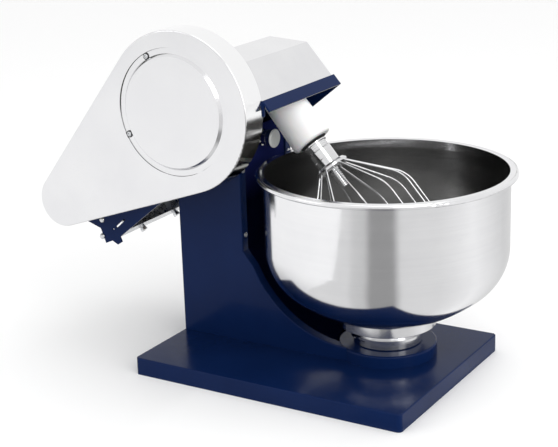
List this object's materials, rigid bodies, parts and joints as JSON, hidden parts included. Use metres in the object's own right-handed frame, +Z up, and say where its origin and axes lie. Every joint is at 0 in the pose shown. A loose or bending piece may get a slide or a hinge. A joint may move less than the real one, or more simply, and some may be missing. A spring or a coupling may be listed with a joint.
{
  "type": "stand mixer",
  "caption": "Bench mixer: tilting belt-driven head with an inclined balloon whisk over a free-turning steel bowl, on a folded column and base tray.",
  "frame": {"origin": "middle of the base tray, on the surface it stands on", "axes": "+X from the column towards the bowl, +Y away from the belt guard, +Z up"},
  "size_m": [0.6538, 0.349, 0.4655],
  "materials": {
    "navy_paint": "smooth gloss navy enamel on steel",
    "polished_sheet": "bright polished stainless sheet",
    "black_paint": "satin black enamel",
    "stainless": "polished stainless steel",
    "stainless_wire": "polished stainless steel wire",
    "chrome": "bright plated steel",
    "steel": "machined steel",
    "zinc_steel": "bright zinc plating",
    "bearing_steel": "ground steel",
    "bronze": "plain bronze",
    "aluminium": "cast and machined",
    "black_plastic": "moulded, fine grain",
    "pale_plastic": "moulded, glossy",
    "white_plastic": "moulded acetal, satin",
    "belt_rubber": "flat rubber belt",
    "seal_rubber": "dark nitrile"
  },
  "bodies": {
    "base": {"base_tray": "navy_paint", "stop_bar": "steel", "column_side_near": "navy_paint", "column_side_far": "navy_paint", "column_front": "navy_paint", "column_rear": "navy_paint", "front_screws": "zinc_steel", "pedestal": "navy_paint", "bowl_bearings": "bearing_steel", "pivot_bushes": "bronze", "cable_gland": "black_plastic", "clamp_bush": "steel", "switch_body": "black_plastic"},
    "arm": {"arm_plate_near": "navy_paint", "arm_plate_far": "navy_paint", "front_lip": "navy_paint", "cross_member": "zinc_steel", "tension_bolts": "zinc_steel", "head_cover": "polished_sheet", "head_floor": "navy_paint", "arm_screws": "zinc_steel", "tilt_quadrant": "steel", "pivot_shaft": "steel", "pivot_nuts": "zinc_steel", "motor_body": "black_paint", "motor_fan_cowl": "black_paint", "motor_screws": "zinc_steel", "motor_stator": "steel", "motor_bearings": "bearing_steel", "drive_belt": "belt_rubber", "guard_shell": "polished_sheet", "guard_back": "polished_sheet", "guard_door": "polished_sheet", "guard_screws": "zinc_steel", "gear_case": "aluminium", "gear_case_lid": "aluminium", "gear_bearings": "bearing_steel", "tool_housing": "white_plastic", "tool_seal": "seal_rubber"},
    "motor_shaft": {"motor_rotor": "steel", "motor_pulley": "aluminium"},
    "pulley": {"drive_pulley": "aluminium", "pulley_shaft": "steel", "bevel_pinion_1": "steel"},
    "layshaft": {"bevel_gear_1": "steel", "layshaft": "steel", "bevel_pinion_2": "steel"},
    "tool": {"bevel_gear_2": "steel", "tool_shaft": "steel", "drive_sleeve": "stainless", "whisk_hub": "stainless", "whisk_wires": "stainless_wire"},
    "bowl": {"bowl": "stainless", "bowl_collar": "stainless", "turntable": "stainless", "turntable_spindle": "steel"},
    "clamp": {"clamp_screw": "steel", "clamp_knob": "chrome", "clamp_knob_cap": "pale_plastic"},
    "switch": {"switch_knob": "black_plastic"}
  },
  "joints": [
    {"name": "arm_tilt", "type": "hinge", "parent": "base", "child": "arm", "pos_m": [-0.18, 0.0292, 0.262], "axis": [0, -1, 0], "range_deg": [0, 30]},
    {"name": "pulley_spin", "type": "hinge", "parent": "arm", "child": "pulley", "pos_m": [-0.14508, -0.0828, 0.35901], "axis": [0, 1, 0], "continuous": true},
    {"name": "motor_spin", "type": "hinge", "parent": "arm", "child": "motor_shaft", "pos_m": [-0.34589, -0.0828, 0.21505], "axis": [0, 1, 0], "continuous": true},
    {"name": "layshaft_spin", "type": "hinge", "parent": "arm", "child": "layshaft", "pos_m": [-0.1247, 0.0292, 0.37672], "axis": [0.7547, 0, 0.6561], "continuous": true},
    {"name": "tool_spin", "type": "hinge", "parent": "arm", "child": "tool", "pos_m": [-0.06679, 0.0292, 0.36041], "axis": [-0.6561, 0, 0.7547], "continuous": true},
    {"name": "bowl_turn", "type": "hinge", "parent": "base", "child": "bowl", "pos_m": [0.0922, 0.0292, 0.045], "axis": [0, 0, 1], "continuous": true},
    {"name": "clamp_turn", "type": "hinge", "parent": "base", "child": "clamp", "pos_m": [-0.1, 0.0292, 0.301], "axis": [1, 0, 0], "range_deg": [-90, 180]},
    {"name": "switch_turn", "type": "hinge", "parent": "base", "child": "switch", "pos_m": [-0.15, 0.1048, 0.188], "axis": [0, 1, 0], "range_deg": [0, 90]}
  ],
  "couplings": [
    {"joint": "motor_spin", "follows": "pulley_spin", "ratio": 4},
    {"joint": "layshaft_spin", "follows": "pulley_spin", "ratio": 0.66667},
    {"joint": "tool_spin", "follows": "pulley_spin", "ratio": -0.33333}
  ]
}
